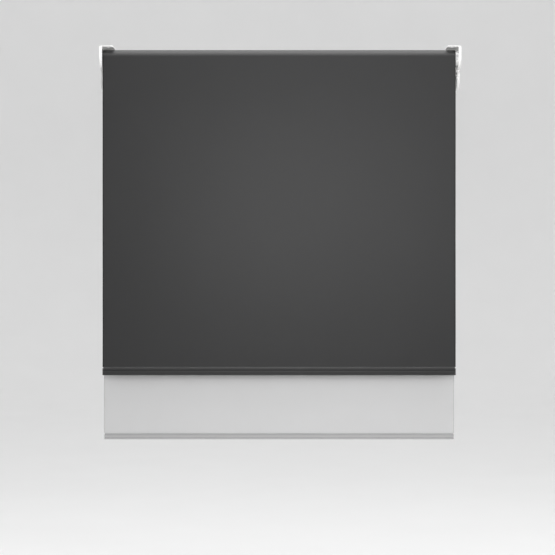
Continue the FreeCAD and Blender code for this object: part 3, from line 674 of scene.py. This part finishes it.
def part_finishes():
    """The finish of every CAD slot that shows its own CAD shape."""
    return {
        "bracket_steel": moulded("white_powder_coat", (0.74, 0.74, 0.73), 0.40, 0.7 * MM, 0.03 * MM),
        "cover_plastic": moulded("white_cover_plastic", (0.76, 0.76, 0.755), 0.46, 0.35 * MM, 0.03 * MM),
        "head_plastic": moulded("white_head_plastic", (0.73, 0.73, 0.725), 0.44, 0.4 * MM, 0.03 * MM),
        "plug_plastic": moulded("grey_acetal", (0.40, 0.41, 0.42), 0.42, 0.5 * MM, 0.02 * MM),
        "strip_plastic": moulded("clear_strip_plastic", (0.70, 0.70, 0.66), 0.38, 0.6 * MM, 0.02 * MM),
        "tube_aluminium": drawn_metal("extruded_tube", (0.80, 0.81, 0.82), 0.34),
        "bar_aluminium": drawn_metal("extruded_bar", (0.78, 0.79, 0.80), 0.38),
        "pin_steel": drawn_metal("turned_steel", (0.66, 0.66, 0.67), 0.24, (1400.0, 3.0, 3.0)),
        "spring_steel": drawn_metal("spring_steel_wire", (0.55, 0.55, 0.57), 0.28),
        "zinc_steel": drawn_metal("bright_zinc", (0.72, 0.74, 0.77), 0.30, (40.0, 40.0, 40.0)),
        "socket_metal": drawn_metal("pressed_socket_steel", (0.62, 0.62, 0.64), 0.32, (800.0, 6.0, 800.0)),
        "casing_steel": drawn_metal("motor_casing_steel", (0.60, 0.61, 0.62), 0.36),
        "gearbox_plastic": moulded("black_glass_nylon", (0.035, 0.035, 0.036), 0.5, 0.4 * MM, 0.03 * MM),
        "button_plastic": moulded("soft_button_plastic", (0.30, 0.31, 0.32), 0.5, 0.3 * MM, 0.02 * MM),
        "lamp_plastic": moulded(
            "lamp_lens_plastic", (0.75, 0.78, 0.75), 0.16, 0.8 * MM, 0.01 * MM, Coat_Weight=0.5
        ),
        "battery_wrap": shrink_wrap("battery_film", (0.05, 0.12, 0.26)),
        "board": circuit_board("circuit_board"),
        "dark_cap": moulded("dark_cap_plastic", (0.05, 0.05, 0.051), 0.46, 0.35 * MM, 0.03 * MM),
        "light_cap": moulded("light_cap_plastic", (0.52, 0.52, 0.515), 0.46, 0.35 * MM, 0.03 * MM),
    }


# ---------------------------------------------------------------- putting the pieces on their bodies


def hang(blind, finishes):
    """The hanging cloth as layers that lie in each other and cover the drop at any height of the bar.

    The near layer is fixed at the roll and the far one at the bar, and both shorten as the
    bar moves either way. A third, in the middle of the front cloth, whose bar is let down
    further, stretches between the two bodies and covers what the others leave then.
    """
    name, slide = blind.name, f"{blind.name}_bar_slide"
    near = hanging_layer(blind, f"{name}_cloth", 0, 1, *NEAR_FACES, finishes)
    far = hanging_layer(blind, f"{name}_cloth_from_bar", 0, 1, *FAR_FACES, finishes)
    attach(near, "brackets")
    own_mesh(near)
    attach(far, f"{name}_bar")
    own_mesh(far)
    layers = [near, far]
    if blind.layers == 3:
        between = hanging_layer(blind, f"{name}_cloth_between", 0.25, 0.75, *BETWEEN_FACES, finishes)
        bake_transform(between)
        layers.append(between)
    return layers


def dress(blind, finishes):
    """All of one blind's cloth, in place of its plain CAD solids."""
    name = blind.name
    sheet_finish, hem_finish = finishes[name]
    layers = hang(blind, sheet_finish)
    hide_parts(f"{name}_fabric")
    wound, wound_length = wound_cloth(blind, sheet_finish)
    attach(wound, f"{name}_roller")
    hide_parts(f"{name}_fabric_roll")
    sleeve, sleeve_length = hem_pocket(blind, hem_finish)
    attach(sleeve, f"{name}_bar")
    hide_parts(f"{name}_hem_pocket")
    print(f"{name} hem pocket: {sleeve_length:.4f} round the bar")


def spring(blind, finish):
    """The pin's coil in place of its plain CAD sleeve. It closes up as the pin is pushed in."""
    coil = pin_coil(blind, finish)
    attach(coil, f"{blind.name}_roller")
    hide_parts(f"{blind.name}_pin_spring")
    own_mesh(coil)


CLOTH = cloth_finishes()
PARTS = part_finishes()
for part, node in frame["nodes"].items():
    finish = PARTS.get(SLOT_OF_NODE[part])
    if finish is not None:
        for holder in node.material_slots:
            holder.material = finish
for one in (FRONT, REAR):
    dress(one, CLOTH)
    spring(one, PARTS["spring_steel"])


# ---------------------------------------------------------------- studio and camera


def studio_paper():
    """Pale paper with a faint cloud in it, darker behind the camera."""
    paper = Finish("studio_paper", Roughness=0.9, Specular_IOR_Level=0.1)
    split = paper.add("ShaderNodeSeparateXYZ", Vector=paper.place())
    behind = paper.spread(split.outputs[1], 0, 1, -5.5, -2.5)
    grain = paper.blend(paper.noise(paper.place(), 3.0), (0.89, 0.89, 0.89, 1), (0.92, 0.92, 0.92, 1))
    paper.drive("Base Color", paper.blend(behind, (0.42, 0.42, 0.42, 1), grain))
    return paper.material


def studio():
    """A round pale floor that curves up into a low wall, under a pale sky.

    The floor's profile goes out flat, turns up in a quarter circle and ends in a straight
    wall, and is carried once round the Z axis. A flat disc closes the middle.
    """
    flat_out, bend, wall_top, floor_z = 5.0, 2.2, 2.9, -1.5
    angle = np.linspace(0, np.pi / 2, 17)
    radius = np.concatenate([[1.5, 3.0], flat_out + bend * np.sin(angle), [flat_out + bend]])
    height = np.concatenate([[0, 0], bend * (1 - np.cos(angle)), [wall_top - floor_z]]) + floor_z
    around = np.linspace(0, 2 * np.pi, 97)[:-1]
    points = np.stack(
        [
            radius[:, None] * np.cos(around),
            radius[:, None] * np.sin(around),
            height[:, None] + 0 * around,
        ],
        axis=-1,
    )
    number = np.arange(len(radius) * len(around)).reshape(-1, len(around))
    after = np.roll(number, -1, axis=1)
    quads = np.stack([number[1:], after[1:], after[:-1], number[:-1]], axis=-1).reshape(-1, 4)
    mesh = bpy.data.meshes.new("studio_floor")
    mesh.from_pydata(points.reshape(-1, 3).tolist(), [], quads.tolist() + [number[0].tolist()])
    mesh.polygons.foreach_set("use_smooth", np.ones(len(mesh.polygons), bool))
    mesh.materials.append(studio_paper())
    floor = bpy.data.objects.new("studio_floor", mesh)
    bpy.context.scene.collection.objects.link(floor)

    world = bpy.data.worlds.new("studio_sky")
    world.use_nodes = True
    sky = next(n for n in world.node_tree.nodes if n.type == "BACKGROUND")
    sky.inputs["Color"].default_value = (1, 1, 1, 1)
    sky.inputs["Strength"].default_value = 0.86
    bpy.context.scene.world = world


def soft_light(name, place, target, size, power):
    """A rectangular soft light at place that faces target. size is width and height, power is in watts."""
    light = bpy.data.lights.new(name, "AREA")
    light.shape, light.size, light.size_y = "RECTANGLE", *size
    light.energy = power
    holder = bpy.data.objects.new(name, light)
    holder.location = place
    direction = Vector(target) - Vector(place)
    holder.rotation_mode = "QUATERNION"
    holder.rotation_quaternion = direction.to_track_quat("-Z", "Y")
    holder.visible_camera = False
    bpy.context.scene.collection.objects.link(holder)


def camera():
    """Square on to the blind, about three metres away and a little below its middle."""
    lens = bpy.data.cameras.new("camera")
    lens.sensor_width, lens.lens = 36.0, 74.85
    lens.clip_start, lens.clip_end = 0.05, 60.0
    holder = bpy.data.objects.new("camera", lens)
    holder.location = (-0.00715, -3.036, -0.6019)
    holder.rotation_euler = (math.pi / 2, 0, 0)
    bpy.context.scene.collection.objects.link(holder)
    bpy.context.scene.camera = holder


studio()
soft_light("overhead_panel", (0.05, -0.17, 0.56), (0.05, -0.17, -0.05), (1.5, 0.80), 17.0)
soft_light("key_softbox", (0.19, -1.30, -0.34), (0.16, 0.0, -0.40), (0.7, 0.7), 9.5)
soft_light("low_fill", (0.0, -1.9, -1.20), (0.0, 0.0, -0.93), (1.4, 0.3), 2.5)
soft_light("left_strip", (-1.5, -0.9, -0.10), (-0.47, 0.0, -0.06), (0.3, 0.8), 3.0)
soft_light("right_strip", (1.5, -0.9, -0.10), (0.47, 0.0, -0.06), (0.3, 0.8), 3.0)
camera()
bpy.context.scene.view_settings.view_transform = "Standard"
